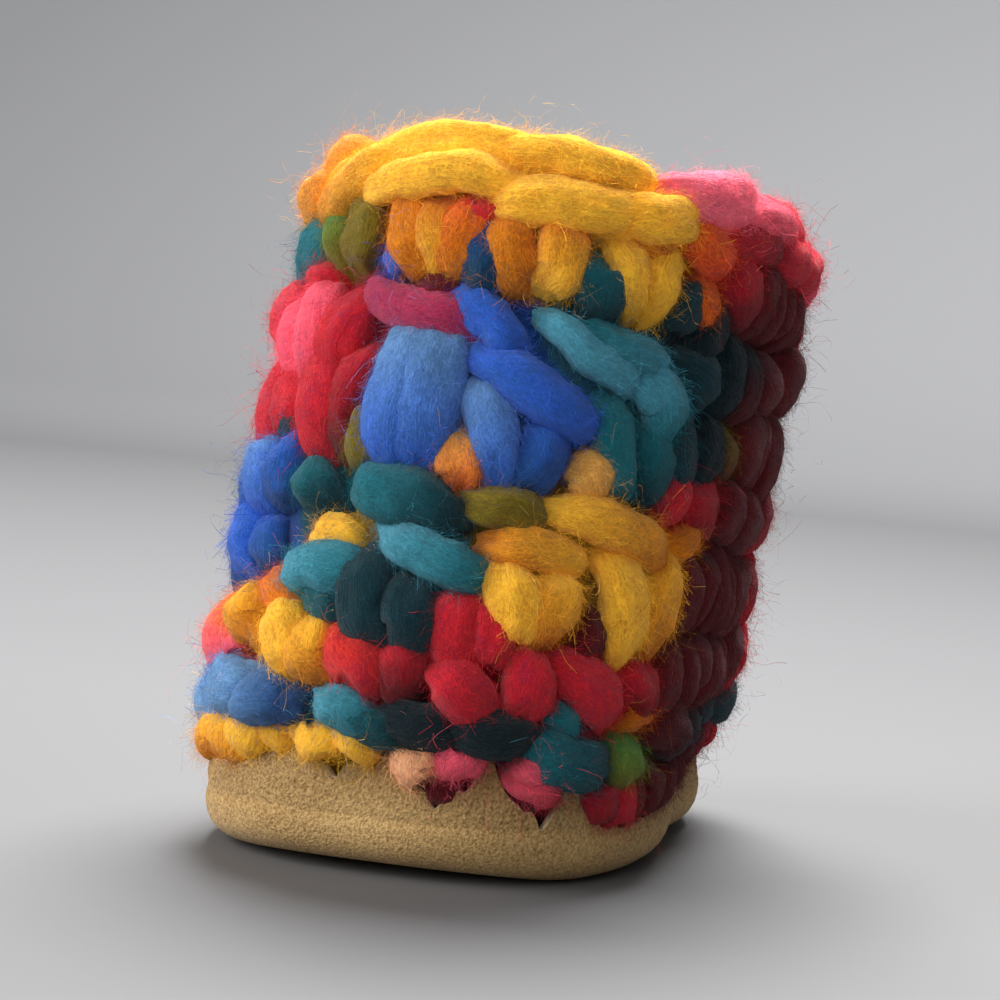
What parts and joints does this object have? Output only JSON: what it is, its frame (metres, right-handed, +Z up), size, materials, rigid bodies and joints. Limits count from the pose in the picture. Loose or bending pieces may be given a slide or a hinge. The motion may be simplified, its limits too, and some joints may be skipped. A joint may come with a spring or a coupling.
{
  "type": "baby slipper",
  "caption": "Soft baby slipper with a tall crocheted wool upper in mixed colours, worked up from the nicked edge of a cup-shaped suede sole, with a chain-stitch collar and a fleece insole.",
  "frame": {"origin": "on the floor under the middle of the sole", "axes": "+X to the inner side of the foot, -Y to the toe, +Y to the heel, +Z up"},
  "size_m": [0.0733, 0.1029, 0.1019],
  "materials": {
    "suede": "napped tan suede, paler on its cut edge",
    "fleece": "matte cream fleece",
    "wool": "soft matte roving wool that changes colour along the strand",
    "edging_wool": "soft matte roving wool, mostly golden yellow"
  },
  "bodies": {
    "root": {"sole": "suede", "insole": "fleece", "upper": "wool", "collar_edging": "edging_wool"}
  },
  "joints": []
}
